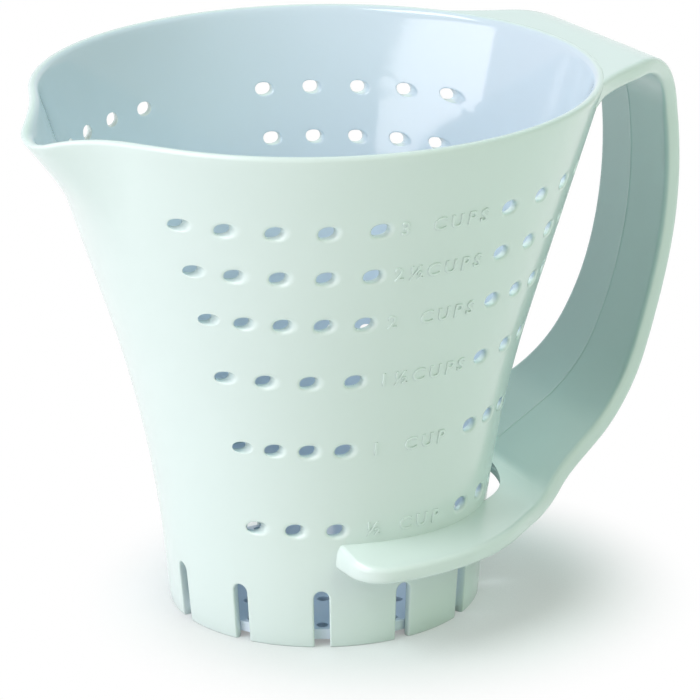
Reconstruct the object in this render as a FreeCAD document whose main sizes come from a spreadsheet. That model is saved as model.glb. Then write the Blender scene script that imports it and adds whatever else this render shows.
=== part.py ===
import FreeCAD, Part
import math
import os
import Sketcher

# Measuring colander: a flared cup with a pouring spout, a perforated wall and floor,
# a slotted foot, and a ribbon handle that ends in a collar round the wall.
# Millimetres. Z is up, the cup's axis is the Z axis and it stands on z = 0.
# The handle points along +X and the spout along -X; Y is the direction of the wall's holes.

V = FreeCAD.Vector

doc = FreeCAD.newDocument("MeasuringColander")
sheet = doc.addObject("Spreadsheet::Sheet", "Sizes")

# name, size, what it is
DRIVING_SIZES = [
    ("foot_radius", 38.0, "outer radius where the foot stands"),
    ("foot_slope", 0.081, "how far the foot leans out, per mm of height"),
    ("wall_slope", 0.311, "how far the upper wall leans out, per mm of height"),
    ("flare_radius", 290.0, "radius of the bend between the two slopes"),
    ("rim_radius", 68.4, "outer radius of the round part of the rim"),
    ("rim_height", 130.6, "height of the rim and of the handle's top"),
    ("wall_inset", 2.2, "how far the inside lies within the outside"),
    ("wall_raise", 0.8, "how far the inside is lifted over the outside"),
    ("foot_height", 16.0, "height of the slotted foot"),
    ("spout_depth", 22.6, "height of the spout below the rim"),
    ("spout_reach", 11.7, "how far the spout would stand out at rim height"),
    ("spout_nose", 9.5, "radius of the spout's nose"),
    ("spout_flank", 55.0, "radius of the hollow flanks of the spout"),
    ("spout_dip_start", 58.0, "distance from the axis where the lip starts to dip"),
    ("spout_dip_radius", 38.0, "radius of the lip's dip"),
    ("slot_width", 3.7, "width of a drain slot in the foot"),
    ("slot_height", 14.8, "height of a drain slot"),
    ("floor_height", 3.9, "height of the floor's upper face"),
    ("floor_thickness", 2.6, "thickness of the floor"),
    ("floor_hole", 2.8, "diameter of a hole in the floor"),
    ("hole_height", 3.5, "height of a hole in the wall"),
    ("hole_width", 6.3, "width of a hole if it stood on the Y axis"),
    ("hole_narrowing", 2.9, "how much narrower a hole would be on the X axis"),
    ("hole_start", 16.9, "distance of each row's first hole from the middle plane"),
    ("hole_edge_angle", 50.0, "angle of the last hole at the table, from the Y axis"),
    ("hole_edge_gain", 0.1, "how much that angle grows, per mm of height"),
    ("half_cup", 30.9, "height of the row of holes at half a cup"),
    ("one_cup", 52.4, "height of the row at one cup"),
    ("one_and_half_cups", 71.1, "height of the row at one and a half cups"),
    ("two_cups", 86.6, "height of the row at two cups"),
    ("two_and_half_cups", 99.2, "height of the row at two and a half cups"),
    ("three_cups", 111.1, "height of the row at three cups"),
    ("ribbon_thickness", 4.2, "thickness of the handle and the collar"),
    ("ribbon_half_width", 14.1, "half the width of the grip"),
    ("ribbon_round", 1.2, "radius that breaks the handle's long edges"),
    ("bend_radius", 16.4, "inner radius of the top bend"),
    ("bend_turn", 82.5, "how far the top bend turns, degrees"),
    ("grip_turn", 33.5, "how far the grip turns, degrees"),
    ("elbow_radius", 39.5, "inner radius of the elbow under the grip"),
    ("elbow_turn", 35.0, "how far the elbow turns, degrees"),
    ("apron_run", 17.15, "straight stretch between elbow and root"),
    ("root_radius", 21.3, "inner radius where the ribbon flattens into the collar"),
    ("root_place", 38.0, "distance from the axis where the collar starts to rise into the ribbon"),
    ("joint_share", 0.968, "where ribbon and collar meet, as a share of the root's reach"),
    ("neck_radius", 3.0, "radius between the grip's edge and the shoulder"),
    ("neck_turn", 62.0, "angle of the shoulder's edge to the handle"),
    ("neck_run", 2.8, "straight stretch between neck and shoulder"),
    ("shoulder_radius", 22.0, "radius of the shoulder"),
    ("rim_fillet", 66.0, "radius where the handle's top runs out along the rim"),
    ("rim_sink", 1.8, "how far inside the rim the handle's edge runs out"),
    ("collar_top", 25.1, "height of the collar's upper face"),
    ("collar_radius", 52.0, "outer radius of the collar"),
    ("collar_tip", 13.3, "how far the collar's arms reach past the middle"),
    ("collar_round", 1.8, "radius that breaks the collar's edges"),
    ("tip_round", 4.5, "radius of the corners of the arms"),
    ("apron_slope", 0.345, "how the handle widens towards the collar, per mm"),
    ("apron_radius", 20.0, "radius where it starts to widen"),
    ("hip_radius", 12.0, "radius where the handle's edge meets the collar's"),
    ("hip_angle", 54.2, "angle of the collar's last tangent to the X axis"),
    ("gap_place", 13.9, "centre of the arc that bounds the drip gap"),
    ("gap_radius", 32.8, "radius of the arc that bounds the drip gap"),
]
for number, (name, amount, note) in enumerate(DRIVING_SIZES, start=1):
    sheet.set("A%d" % number, name)
    sheet.set("B%d" % number, str(amount))
    sheet.set("C%d" % number, note)
    sheet.setAlias("B%d" % number, name)
doc.recompute()

SLOTS = 12                                   # drain slots round the foot
FLOOR_RINGS = [(1, 0.0, 0.0), (6, 8.6, 30.0), (12, 17.2, 0.0), (12, 25.3, 15.0), (12, 33.3, 0.0)]
HOLE_ROWS = [("half_cup", 3), ("one_cup", 4), ("one_and_half_cups", 4),
             ("two_cups", 5), ("two_and_half_cups", 5), ("three_cups", 5)]
FOOT_TURNS = (162, 170, 190, 198)            # where the round outline splits for the spout, degrees
SPOUT_SHARES = (0.0, 0.3, 0.65, 1.0)         # heights of the spout's outlines, as shares of its depth
HOLE_FLAT_LEAST = 0.1                        # half the straight stretch of the roundest hole
LIP_TURN = 40.0                              # turn of the lip's dip, enough to pass the spout, degrees
FAR = 200.0                                  # past everything, for cuts that go through
CLEAR = 5.0                                  # how far a cut or a sketch stands off what it cuts
TINY = 0.001                                 # lengths and shares below this count as nothing
SMOOTH = 0.95                                # faces whose normals agree better than this meet smoothly


def size(name):
    return float(sheet.get(name))


def cell(name):
    return "Sizes." + name


# ---------------------------------------------------------------- the cup's form

def flare():
    """The bend between the foot's slope and the wall's: start, end and centre, as (radius, height)."""
    low, high = math.atan(size("foot_slope")), math.atan(size("wall_slope"))
    spare = size("rim_radius") - size("foot_radius") - size("foot_slope") * size("rim_height")
    corner_height = size("rim_height") - spare / (size("wall_slope") - size("foot_slope"))
    corner = (size("foot_radius") + size("foot_slope") * corner_height, corner_height)
    reach = size("flare_radius") * math.tan((high - low) / 2)
    start = (corner[0] - reach * math.sin(low), corner[1] - reach * math.cos(low))
    end = (corner[0] + reach * math.sin(high), corner[1] + reach * math.cos(high))
    centre = (start[0] + size("flare_radius") * math.cos(low),
              start[1] - size("flare_radius") * math.sin(low))
    return start, end, centre


def wall_radius(height):
    """Outer radius at a height: the foot's slope, the bend, then the wall's slope."""
    start, end, centre = flare()
    if height < start[1]:
        return start[0] - size("foot_slope") * (start[1] - height)
    if height > end[1]:
        return end[0] + size("wall_slope") * (height - end[1])
    return centre[0] - math.sqrt(size("flare_radius") ** 2 - (height - centre[1]) ** 2)


def inner_radius(height):
    return wall_radius(height - size("wall_raise")) - size("wall_inset")


def spout_foot():
    return size("rim_height") - size("spout_depth")


def rim_section(height, inset):
    """Arcs of the cup's outline at one height, as (centre, radius, start, end) in radians,
    anticlockwise from the handle: wall, flank, nose, flank, wall."""
    radius = wall_radius(height)
    share = (height - spout_foot()) / size("spout_depth")
    if share < TINY:
        turns = [0.0] + [math.radians(turn) for turn in FOOT_TURNS] + [2 * math.pi]
        return [((0.0, 0.0), radius - inset, *pair) for pair in zip(turns[:-1], turns[1:])]
    nose = 1 / (1 / radius + (1 / size("spout_nose") - 1 / radius) * share)
    flank = size("spout_flank")
    nose_x = radius + size("spout_reach") * share - nose
    flank_x = ((radius + flank) ** 2 - (nose + flank) ** 2 + nose_x ** 2) / (2 * nose_x)
    flank_y = math.sqrt((radius + flank) ** 2 - flank_x ** 2)
    leave = math.atan2(flank_y, flank_x)
    lean = math.atan2(flank_y, flank_x - nose_x)
    return [
        ((0.0, 0.0), radius - inset, 0.0, math.pi - leave),
        ((-flank_x, flank_y), flank + inset, -lean, -leave),
        ((-nose_x, 0.0), nose - inset, math.pi - lean, math.pi + lean),
        ((-flank_x, -flank_y), flank + inset, leave, lean),
        ((0.0, 0.0), radius - inset, math.pi + leave, 2 * math.pi),
    ]


# ---------------------------------------------------------------- drawing helpers

def new_body(name):
    body = doc.addObject("PartDesign::Body", name)
    body.Label = name
    return body


def origin_plane(body, role):
    return [feature for feature in body.Origin.OriginFeatures if feature.Role == role][0]


def new_sketch(body, name, role, offset=0.0, binding=None):
    """A sketch on one of the body's own planes, lifted along that plane's normal."""
    sketch = body.newObject("Sketcher::SketchObject", name)
    sketch.AttachmentSupport = [(origin_plane(body, role), "")]
    sketch.MapMode = "FlatFace"
    sketch.AttachmentOffset = FreeCAD.Placement(V(0, 0, offset), FreeCAD.Rotation())
    if binding:
        sketch.setExpression("AttachmentOffset.Base.z", binding)
    return sketch


def add_arc(sketch, centre, radius, start, end):
    circle = Part.Circle(V(centre[0], centre[1], 0), V(0, 0, 1), radius)
    return sketch.addGeometry(Part.ArcOfCircle(circle, start, end), False)


def add_line(sketch, start, end):
    return sketch.addGeometry(Part.LineSegment(V(*start, 0), V(*end, 0)), False)


def bind(sketch, constraint, binding):
    number = sketch.addConstraint(constraint)
    sketch.setExpression("Constraints[%d]" % number, binding)


class Outline:
    """A closed run of lines and tangent arcs, drawn in one sketch from end to end."""

    def __init__(self, sketch, start):
        self.sketch, self.first, self.at, self.pieces = sketch, start, start, []

    def line_to(self, point):
        if math.dist(self.at, point) > TINY:
            self.pieces.append((add_line(self.sketch, self.at, point), 1, 2))
        self.at = point
        return self

    def arc(self, centre, end, clockwise, binding=None):
        """An arc about centre from where the outline is now to end."""
        begin = math.atan2(self.at[1] - centre[1], self.at[0] - centre[0])
        finish = math.atan2(end[1] - centre[1], end[0] - centre[0])
        radius = math.dist(self.at, centre)
        low, high = (finish, begin) if clockwise else (begin, finish)
        if high < low:
            high += 2 * math.pi
        number = add_arc(self.sketch, centre, radius, low, high)
        self.pieces.append((number, 2, 1) if clockwise else (number, 1, 2))
        if binding:
            bind(self.sketch, Sketcher.Constraint("Radius", number, radius), binding)
        self.at = end
        return self

    def close(self):
        self.line_to(self.first)
        following = self.pieces[1:] + self.pieces[:1]
        for (piece, _, end), (other, start, _) in zip(self.pieces, following):
            self.sketch.addConstraint(Sketcher.Constraint("Coincident", piece, end, other, start))
        return self.sketch


def pad(body, sketch, name, length, both_ways=False, binding=None):
    feature = body.newObject("PartDesign::Pad", name)
    feature.Profile = sketch
    feature.Length = length
    feature.Midplane = both_ways
    if binding:
        feature.setExpression("Length", binding)
    return feature


def pocket(body, sketch, name, depth=None, both_ways=False, upwards=False):
    """A cut from the sketch: through all of the body, or to a depth."""
    feature = body.newObject("PartDesign::Pocket", name)
    feature.Profile = sketch
    feature.Type = "Length" if depth else "ThroughAll"
    if depth:
        feature.Length = depth
    feature.Midplane = both_ways
    feature.Reversed = upwards
    return feature


def revolve(body, sketch, name):
    feature = body.newObject("PartDesign::Revolution", name)
    feature.Profile = sketch
    feature.ReferenceAxis = (sketch, ["V_Axis"])
    feature.Angle = 360
    return feature


def ring_of(body, feature, name, count):
    """Copies of a feature evenly round the Z axis."""
    pattern = body.newObject("PartDesign::PolarPattern", name)
    pattern.Originals = [feature]
    pattern.Axis = (origin_plane(body, "Z_Axis"), [""])
    pattern.Angle = 360
    pattern.Occurrences = count
    body.Tip = pattern
    return pattern


def is_sharp(edge, shape):
    """Whether the two faces at an edge meet at an angle there."""
    faces = shape.ancestorsOfType(edge, Part.Face)
    if len(faces) != 2:
        return False
    middle = edge.valueAt((edge.FirstParameter + edge.LastParameter) / 2)
    normals = []
    for face in faces:
        u, v = face.Surface.parameter(middle)
        normals.append(face.normalAt(u, v))
    return abs(normals[0].dot(normals[1])) < SMOOTH


def off_plane(edge, place):
    """Whether an edge leaves the plane across the handle at that distance from the axis."""
    box = edge.BoundBox
    return max(abs(box.XMin - place), abs(box.XMax - place)) > 10 * TINY


def round_edges(body, name, binding, wanted):
    """A fillet on the sharp edges of the body that are wanted."""
    doc.recompute()
    base = body.Tip
    names = ["Edge%d" % number for number, edge in enumerate(base.Shape.Edges, start=1)
             if wanted(edge) and is_sharp(edge, base.Shape)]
    fillet = body.newObject("PartDesign::Fillet", name)
    fillet.Base = (base, names)
    fillet.setExpression("Radius", binding)
    return fillet


def spout_loft(body, kind, name, inset, raised):
    """A loft through the cup's outlines from the spout's foot to the rim."""
    sketches = []
    for number, share in enumerate(SPOUT_SHARES, start=1):
        height = spout_foot() + size("spout_depth") * share
        sketch = new_sketch(body, "%s_outline_%d" % (name, number), "XY_Plane", height + raised)
        arcs = [add_arc(sketch, *arc) for arc in rim_section(height, inset)]
        hollow = (arcs[1], arcs[3]) if share else ()
        for arc, following in zip(arcs, arcs[1:] + arcs[:1]):
            sketch.addConstraint(Sketcher.Constraint(
                "Coincident", arc, 1 if arc in hollow else 2,
                following, 2 if following in hollow else 1))
        sketches.append(sketch)
    loft = body.newObject("PartDesign::" + kind, name)
    loft.Profile = sketches[0]
    loft.Sections = sketches[1:]
    return loft


def draw_wall_line(outline, low, high, inset, raised):
    """Carries an outline up the wall's side view between two heights: line, bend, line."""
    def place(height):
        return (wall_radius(height - raised) - inset, height)

    start, end, centre = flare()
    bend_low = min(max(start[1] + raised, low), high)
    bend_high = min(max(end[1] + raised, low), high)
    outline.line_to(place(low)).line_to(place(bend_low))
    if bend_high > bend_low:
        outline.arc((centre[0] - inset, centre[1] + raised), place(bend_high), True,
                    cell("flare_radius"))
    return outline.line_to(place(high))


def draw_core(body, name, low, high, inset, raised):
    """Half the side view of the solid that the wall's line bounds, for turning round the axis."""
    sketch = new_sketch(body, name, "XZ_Plane")
    outline = Outline(sketch, (0, low))
    draw_wall_line(outline, low, high, inset, raised).line_to((0, high))
    return outline.close()


def add_outside(body, low):
    """The cup's outside as a solid: round up to the spout's foot, then with the spout."""
    profile = draw_core(body, body.Label + "_profile", low, spout_foot(), 0.0, 0.0)
    revolve(body, profile, body.Label + "_round")
    spout_loft(body, "AdditiveLoft", body.Label + "_spouted", 0.0, 0.0)


def cup_outside():
    """The solid that trims what stands against the wall."""
    body = new_body("cup_outside")
    add_outside(body, size("foot_height"))
    return body


# ---------------------------------------------------------------- strainer wall

def draw_hole(sketch, place, height, width):
    """A hole's outline: two half circles with a straight stretch between them."""
    half = size("hole_height") / 2
    flat = max(width / 2 - half, HOLE_FLAT_LEAST)
    outline = Outline(sketch, (place - flat, height - half)).line_to((place + flat, height - half))
    outline.arc((place + flat, height), (place + flat, height + half), False,
                cell("hole_height") + " / 2")
    outline.line_to((place - flat, height + half))
    outline.arc((place - flat, height), (place - flat, height - half), False,
                cell("hole_height") + " / 2")
    outline.close()


def strainer_wall():
    body = new_body("strainer_wall")
    add_outside(body, size("foot_height"))
    hollow = draw_core(body, "hollow_profile", size("foot_height") - CLEAR,
                       spout_foot() + size("wall_raise"), size("wall_inset"), size("wall_raise"))
    groove = body.newObject("PartDesign::Groove", "hollow")
    groove.Profile = hollow
    groove.ReferenceAxis = (hollow, ["V_Axis"])
    groove.Angle = 360
    spout_loft(body, "SubtractiveLoft", "spout_hollow", size("wall_inset"), size("wall_raise"))

    # the lip dips towards the spout's tip along one arc, tangent to the level rim
    top, reach = size("rim_height"), size("spout_dip_radius")
    start = -size("spout_dip_start")
    end_turn = math.radians(LIP_TURN)
    end = (start - reach * math.sin(end_turn), top - reach * (1 - math.cos(end_turn)))
    lip = new_sketch(body, "lip_line", "XZ_Plane")
    outline = Outline(lip, (start, top))
    outline.arc((start, top - reach), end, False, cell("spout_dip_radius"))
    outline.line_to((end[0], top + CLEAR)).line_to((start, top + CLEAR))
    outline.close()
    pocket(body, lip, "lip_dip", depth=2 * FAR, both_ways=True)

    # each row's holes share the arc between its first and last hole; all run along Y
    holes = new_sketch(body, "hole_rows", "XZ_Plane")
    for row, count in HOLE_ROWS:
        height = size(row)
        middle = (wall_radius(height) + inner_radius(height)) / 2
        low_angle = math.asin(size("hole_start") / middle)
        high_angle = math.radians(size("hole_edge_angle") + size("hole_edge_gain") * height)
        for step in range(count):
            angle = low_angle + (high_angle - low_angle) * step / (count - 1)
            for side in (1, -1):
                draw_hole(holes, side * middle * math.sin(angle), height,
                          size("hole_width") - size("hole_narrowing") * math.sin(angle))
    pocket(body, holes, "holes", depth=2 * FAR, both_ways=True)
    return body


# ---------------------------------------------------------------- foot and floor

def foot_ring():
    body = new_body("foot_ring")
    top = size("foot_height")
    profile = new_sketch(body, "foot_profile", "XZ_Plane")
    outline = Outline(profile, (inner_radius(0), 0))
    draw_wall_line(outline, 0, top, 0.0, 0.0).line_to((inner_radius(top), top))
    outline.close()
    revolve(body, profile, "foot")

    half = size("slot_width") / 2
    spring = size("slot_height") - half
    slot = new_sketch(body, "slot_outline", "YZ_Plane")
    outline = Outline(slot, (-half, -CLEAR)).line_to((half, -CLEAR)).line_to((half, spring))
    outline.arc((0, spring), (-half, spring), False, cell("slot_width") + " / 2")
    outline.close()
    cut = pocket(body, slot, "slot", upwards=True)
    ring_of(body, cut, "slots", SLOTS)
    return body


def drain_floor():
    body = new_body("drain_floor")
    top = size("floor_height")
    bottom = top - size("floor_thickness")
    profile = new_sketch(body, "floor_profile", "XZ_Plane")
    outline = Outline(profile, (0, bottom))
    for point in [(inner_radius(bottom), bottom), (inner_radius(top), top), (0, top)]:
        outline.line_to(point)
    outline.close()
    revolve(body, profile, "plate")
    for number, (count, reach, turn) in enumerate(FLOOR_RINGS, start=1):
        sketch = new_sketch(body, "drain_hole_%d" % number, "XY_Plane", top, cell("floor_height"))
        angle = math.radians(turn)
        place = V(reach * math.cos(angle), reach * math.sin(angle), 0)
        ring = sketch.addGeometry(Part.Circle(place, V(0, 0, 1), size("floor_hole") / 2))
        bind(sketch, Sketcher.Constraint("Diameter", ring, size("floor_hole")), cell("floor_hole"))
        cut = pocket(body, sketch, "drain_%d" % number)
        if count > 1:
            ring_of(body, cut, "drains_%d" % number, count)
    return body


# ---------------------------------------------------------------- handle and collar

def ribbon_turns():
    """How far the ribbon has turned from level after the bend, the grip and the elbow, in radians."""
    bend = math.radians(size("bend_turn"))
    grip = bend + math.radians(size("grip_turn"))
    return bend, grip, grip + math.radians(size("elbow_turn"))


def grip_radius():
    """Inner radius of the grip: it takes up the height that the ribbon's other runs leave."""
    bend, grip, elbow = ribbon_turns()
    left = size("rim_height") - size("ribbon_thickness") - size("collar_top")
    left -= size("bend_radius") * (1 - math.cos(bend))
    left -= size("elbow_radius") * (math.cos(grip) - math.cos(elbow))
    left -= size("apron_run") * math.sin(elbow)
    left -= size("root_radius") * (1 + math.cos(elbow))
    return left / (math.cos(bend) - math.cos(grip))


def plate_end():
    """Where the flat top of the handle starts to bend down, so that the ribbon ends at its root."""
    bend, grip, elbow = ribbon_turns()
    reach = size("bend_radius") * math.sin(bend)
    reach += grip_radius() * (math.sin(grip) - math.sin(bend))
    reach += size("elbow_radius") * (math.sin(elbow) - math.sin(grip))
    reach += size("apron_run") * math.cos(elbow)
    return size("root_place") + size("root_radius") * math.sin(elbow) - reach


def bow_binding(name, more=""):
    """What an arc of the ribbon's side view is bound to; the grip's radius is worked out instead."""
    return None if name == "grip" else cell(name + "_radius") + more


def ribbon_path():
    """The ribbon seen from the side, as one tangent run on its inner face:
    a list of (name, start, end, centre, radius), from the rim round to the collar."""
    under = size("rim_height") - size("ribbon_thickness")
    at, heading = (plate_end(), under), 0.0
    radii = [("bend", size("bend_radius")), ("grip", grip_radius()), ("elbow", size("elbow_radius"))]
    path = [("plate", (size("foot_radius"), under), at, None, 0.0)]
    for (name, radius), turned in zip(radii, ribbon_turns()):
        centre = (at[0] - radius * math.sin(heading), at[1] - radius * math.cos(heading))
        heading = turned
        end = (centre[0] + radius * math.sin(heading), centre[1] + radius * math.cos(heading))
        path.append((name, at, end, centre, radius))
        at = end
    run, bow = size("apron_run"), size("root_radius")
    end = (at[0] + run * math.cos(heading), at[1] - run * math.sin(heading))
    path.append(("apron", at, end, None, 0.0))
    centre = (end[0] - bow * math.sin(heading), size("collar_top") + bow)
    path.append(("root", end, (centre[0], size("collar_top")), centre, bow))
    return path


def joint_line(path):
    """Where ribbon and collar meet: the inner and the outer point, one above the other."""
    _, start, _, centre, radius = path[-1]
    place = centre[0] + size("joint_share") * (start[0] - centre[0])
    outer = radius + size("ribbon_thickness")
    return [(place, centre[1] - math.sqrt(bow ** 2 - (place - centre[0]) ** 2))
            for bow in (radius, outer)]


def outer_point(point, centre, radius):
    """The same place on the ribbon's outer face, straight through its thickness."""
    share = (radius + size("ribbon_thickness")) / radius
    return (centre[0] + (point[0] - centre[0]) * share, centre[1] + (point[1] - centre[1]) * share)


def ribbon_handle(cup):
    body = new_body("handle_blank")
    path = ribbon_path()
    thick = size("ribbon_thickness")
    inner_x = size("foot_radius")
    under = size("rim_height") - thick
    side = new_sketch(body, "handle_side", "XZ_Plane")

    # stretch from the plate to the joint with the collar, cut square to the X axis
    _, root_start, _, centre, radius = path[-1]
    inner_joint, outer_joint = joint_line(path)
    outline = Outline(side, (inner_x, under + thick)).line_to((plate_end(), under + thick))
    for name, _, end, middle, bow in path[1:4]:
        outline.arc(middle, outer_point(end, middle, bow), True,
                    bow_binding(name, " + " + cell("ribbon_thickness")))
    outline.line_to(outer_point(root_start, centre, radius))
    outline.arc(centre, outer_joint, True)
    outline.line_to(inner_joint)
    outline.arc(centre, root_start, False)
    outline.line_to(path[3][2])
    for name, start, _, middle, bow in reversed(path[1:4]):
        outline.arc(middle, start, False, bow_binding(name))
    outline.line_to((inner_x, under))
    outline.close()
    pad(body, side, "ribbon_band", 3 * size("collar_radius"), both_ways=True)

    # plan of the top: grip, neck, shoulder, then a hollow that runs out along the rim
    half, neck = size("ribbon_half_width"), size("neck_radius")
    turn = math.radians(size("neck_turn"))
    shoulder, hollow = size("shoulder_radius"), size("rim_fillet")
    face = grip_face(path)
    neck_centre = (face, half + neck)
    neck_end = (neck_centre[0] - neck * math.sin(turn), neck_centre[1] - neck * math.cos(turn))
    run_end = (neck_end[0] - size("neck_run") * math.cos(turn),
               neck_end[1] + size("neck_run") * math.sin(turn))
    shoulder_centre = (run_end[0] - shoulder * math.sin(turn), run_end[1] - shoulder * math.cos(turn))
    run_out = size("rim_radius") - size("rim_sink")
    hollow_centre = meet((0, 0), run_out + hollow, shoulder_centre, shoulder + hollow)
    rim_touch = towards((0, 0), hollow_centre, run_out)
    shoulder_end = towards(shoulder_centre, hollow_centre, shoulder)
    outer = face + FAR
    for name, flip in (("top_left", 1), ("top_right", -1)):
        plan = new_sketch(body, name + "_plan", "XY_Plane", size("rim_height") + CLEAR)
        outline = Outline(plan, (outer, flip * half)).line_to((neck_centre[0], flip * half))
        outline.arc((neck_centre[0], flip * neck_centre[1]), (neck_end[0], flip * neck_end[1]),
                    flip > 0, cell("neck_radius"))
        outline.line_to((run_end[0], flip * run_end[1]))
        outline.arc((shoulder_centre[0], flip * shoulder_centre[1]),
                    (shoulder_end[0], flip * shoulder_end[1]), flip < 0, cell("shoulder_radius"))
        outline.arc((hollow_centre[0], flip * hollow_centre[1]),
                    (rim_touch[0], flip * rim_touch[1]), flip > 0, cell("rim_fillet"))
        outline.arc((0, 0), (inner_x, flip * math.sqrt(run_out ** 2 - inner_x ** 2)), flip < 0)
        outline.line_to((inner_x, flip * FAR))
        outline.line_to((outer, flip * FAR))
        outline.close()
        pocket(body, plan, name, depth=size("rim_height") + CLEAR - grip_middle(path))
    # plan of the rest: the grip's edge widens along a slope towards the collar
    for name, flip in (("low_left", 1), ("low_right", -1)):
        plan = new_sketch(body, name + "_plan", "XY_Plane", grip_middle(path))
        draw_apron(plan, path, flip)
        pocket(body, plan, name)
    round_edges(body, "long_edges", cell("ribbon_round"),
                lambda edge: off_plane(edge, inner_x) and off_plane(edge, inner_joint[0]))
    handle = doc.addObject("Part::Cut", "ribbon_handle")
    handle.Base, handle.Tool = body, cup
    handle.Label = "ribbon_handle"
    return handle


def grip_middle(path):
    """Height at which the grip stands upright."""
    return path[2][3][1]


def grip_face(path):
    """Distance from the axis of the grip's inner face, where it stands upright."""
    return path[2][3][0] + path[2][4]


def meet(first, first_radius, second, second_radius):
    """Where two circles cross, on the +Y side."""
    apart = math.dist(first, second)
    along = (first_radius ** 2 - second_radius ** 2 + apart ** 2) / (2 * apart)
    aside = math.sqrt(first_radius ** 2 - along ** 2)
    ux, uy = (second[0] - first[0]) / apart, (second[1] - first[1]) / apart
    options = [(first[0] + along * ux - side * aside * uy, first[1] + along * uy + side * aside * ux)
               for side in (1, -1)]
    return max(options, key=lambda point: point[1])


def towards(start, end, distance):
    share = distance / math.dist(start, end)
    return (start[0] + (end[0] - start[0]) * share, start[1] + (end[1] - start[1]) * share)


def apron_points(path):
    """Corners and arc centres of the lower plan, on the +Y side, from grip to collar."""
    half, slope = size("ribbon_half_width"), math.atan(size("apron_slope"))
    start = (grip_face(path), half)
    bow = size("apron_radius")
    bow_centre = (start[0], half + bow)
    bow_end = (start[0] - bow * math.sin(slope), half + bow * (1 - math.cos(slope)))
    # the collar's last tangent, and the hip arc that joins it to the slope
    angle = math.radians(size("hip_angle"))
    normal = (math.cos(angle), math.sin(angle))
    touch = (size("collar_radius") * normal[0], size("collar_radius") * normal[1])
    hip = size("hip_radius")
    # hip centre lies hip outside both lines
    slope_normal = (math.sin(slope), math.cos(slope))
    slope_reach = bow_end[0] * slope_normal[0] + bow_end[1] * slope_normal[1] + hip
    tangent_reach = size("collar_radius") + hip
    det = slope_normal[0] * normal[1] - slope_normal[1] * normal[0]
    hip_centre = ((slope_reach * normal[1] - tangent_reach * slope_normal[1]) / det,
                  (slope_normal[0] * tangent_reach - normal[0] * slope_reach) / det)
    hip_start = (hip_centre[0] - hip * slope_normal[0], hip_centre[1] - hip * slope_normal[1])
    hip_end = (hip_centre[0] - hip * normal[0], hip_centre[1] - hip * normal[1])
    return start, bow_centre, bow_end, hip_start, hip_centre, hip_end, touch


def draw_apron(plan, path, flip):
    start, bow_centre, bow_end, hip_start, hip_centre, hip_end, touch = apron_points(path)
    outer = start[0] + FAR

    def on_side(point):
        return (point[0], flip * point[1])

    outline = Outline(plan, on_side((outer, start[1]))).line_to(on_side(start))
    outline.arc(on_side(bow_centre), on_side(bow_end), flip > 0, cell("apron_radius"))
    outline.line_to(on_side(hip_start))
    outline.arc(on_side(hip_centre), on_side(hip_end), flip > 0, cell("hip_radius"))
    outline.line_to(on_side(touch))
    outline.arc((0, 0), (0, flip * size("collar_radius")), flip < 0, cell("collar_radius"))
    outline.line_to((0, flip * FAR)).line_to((outer, flip * FAR))
    outline.close()


def wall_collar(cup):
    body = new_body("collar_blank")
    path = ribbon_path()
    thick = size("ribbon_thickness")
    centre = path[-1][3]
    inner_joint, outer_joint = joint_line(path)
    tip, top = -size("collar_tip"), size("collar_top")
    over = inner_joint[1] + CLEAR

    side = new_sketch(body, "collar_side", "XZ_Plane")
    outline = Outline(side, (tip, top)).line_to((centre[0], top))
    outline.arc(centre, inner_joint, False, cell("root_radius"))
    outline.line_to(outer_joint)
    outline.arc(centre, (centre[0], top - thick), True)
    outline.line_to((tip, top - thick))
    outline.close()
    pad(body, side, "collar_band", 3 * size("collar_radius"), both_ways=True)

    # plan: the arms end in rounded tips, and the sides follow the collar's circle
    reach, corner = size("collar_radius"), size("tip_round")
    corner_x = tip + corner
    corner_y = math.sqrt((reach - corner) ** 2 - corner_x ** 2)
    touch = towards((0, 0), (corner_x, corner_y), reach)
    for name, flip in (("left", 1), ("right", -1)):
        plan = new_sketch(body, name + "_plan", "XY_Plane", over)
        draw_apron(plan, path, flip)
        pocket(body, plan, name + "_side")
        plan = new_sketch(body, name + "_tip_plan", "XY_Plane", over)
        outline = Outline(plan, (tip, flip * corner_y))
        outline.arc((corner_x, flip * corner_y), (touch[0], flip * touch[1]), flip > 0,
                    cell("tip_round"))
        outline.arc((0, 0), (0, flip * reach), flip > 0, cell("collar_radius"))
        outline.line_to((0, flip * FAR)).line_to((tip - CLEAR, flip * FAR))
        outline.line_to((tip - CLEAR, flip * corner_y))
        outline.close()
        pocket(body, plan, name + "_tip")

    # the drip gap behind the wall; the cup trims the rest of the collar
    gap = new_sketch(body, "gap_plan", "XY_Plane", over)
    ring = gap.addGeometry(Part.Circle(V(size("gap_place"), 0, 0), V(0, 0, 1), size("gap_radius")))
    bind(gap, Sketcher.Constraint("Radius", ring, size("gap_radius")), cell("gap_radius"))
    pocket(body, gap, "drip_gap")
    round_edges(body, "outer_edges", cell("collar_round"), lambda edge: off_plane(edge, inner_joint[0]))
    collar = doc.addObject("Part::Cut", "wall_collar")
    collar.Base, collar.Tool = body, cup
    collar.Label = "wall_collar"
    return collar


cup = cup_outside()
pieces = [strainer_wall(), foot_ring(), drain_floor(), ribbon_handle(cup), wall_collar(cup)]
doc.recompute()

for thing in doc.Objects:
    if "Invalid" in thing.State or "Error" in thing.State:
        raise SystemExit("%s failed: %s" % (thing.Label, thing.State))
for piece in pieces:
    if piece.Shape.isNull() or not piece.Shape.isValid() or len(piece.Shape.Solids) != 1:
        raise SystemExit("%s isn't one valid solid" % piece.Label)

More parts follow.
